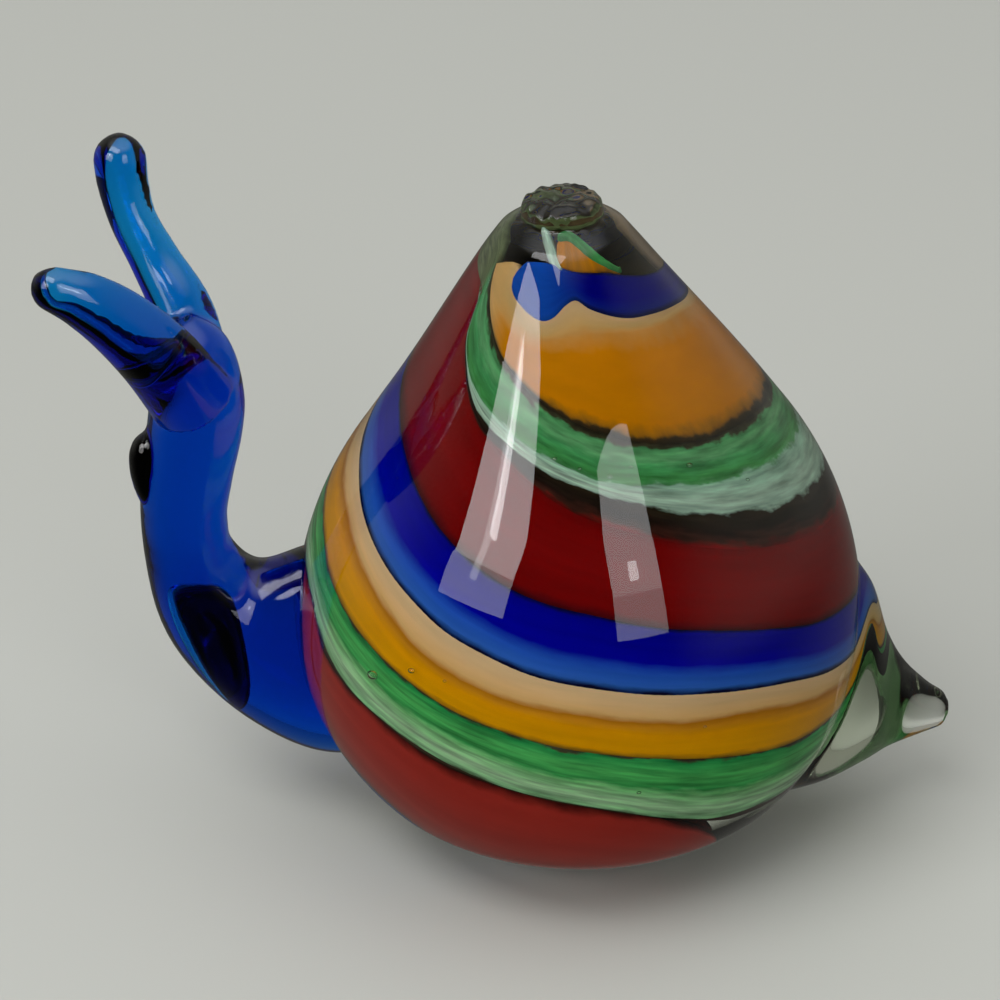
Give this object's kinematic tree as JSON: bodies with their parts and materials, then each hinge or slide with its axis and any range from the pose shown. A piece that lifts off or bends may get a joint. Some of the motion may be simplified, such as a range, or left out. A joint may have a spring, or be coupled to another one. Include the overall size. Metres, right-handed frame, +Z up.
{
  "type": "snail figurine",
  "caption": "Hand-worked glass snail: hollow cone shell with wound colour bands under clear glass, blue neck with tentacles, drawn clear tail.",
  "frame": {"origin": "on the table, at the middle of the ground flat base where the shell axis meets it", "axes": "+X towards the tail, -Y to the front shown in the picture, +Z up"},
  "size_m": [0.1418, 0.088, 0.1149],
  "materials": {
    "clear_glass": "clear soda glass, fire polished",
    "cobalt_glass": "transparent cobalt blue glass, fire polished",
    "blue_opaque_glass": "opaque blue glass under a clear casing",
    "orange_opaque_glass": "opaque orange glass with a peach edge, under a clear casing",
    "green_opaque_glass": "streaky green glass with a mint edge, under a clear casing",
    "red_opaque_glass": "opaque dark red glass under a clear casing"
  },
  "bodies": {
    "root": {"core_bubble": "clear_glass", "blue_trail": "blue_opaque_glass", "orange_trail": "orange_opaque_glass", "green_trail": "green_opaque_glass", "red_trail": "red_opaque_glass", "clear_casing": "clear_glass", "crown_knob": "clear_glass", "tail": "clear_glass", "neck": "cobalt_glass", "near_tentacle": "cobalt_glass", "far_tentacle": "cobalt_glass", "mouth": "cobalt_glass"}
  },
  "joints": []
}
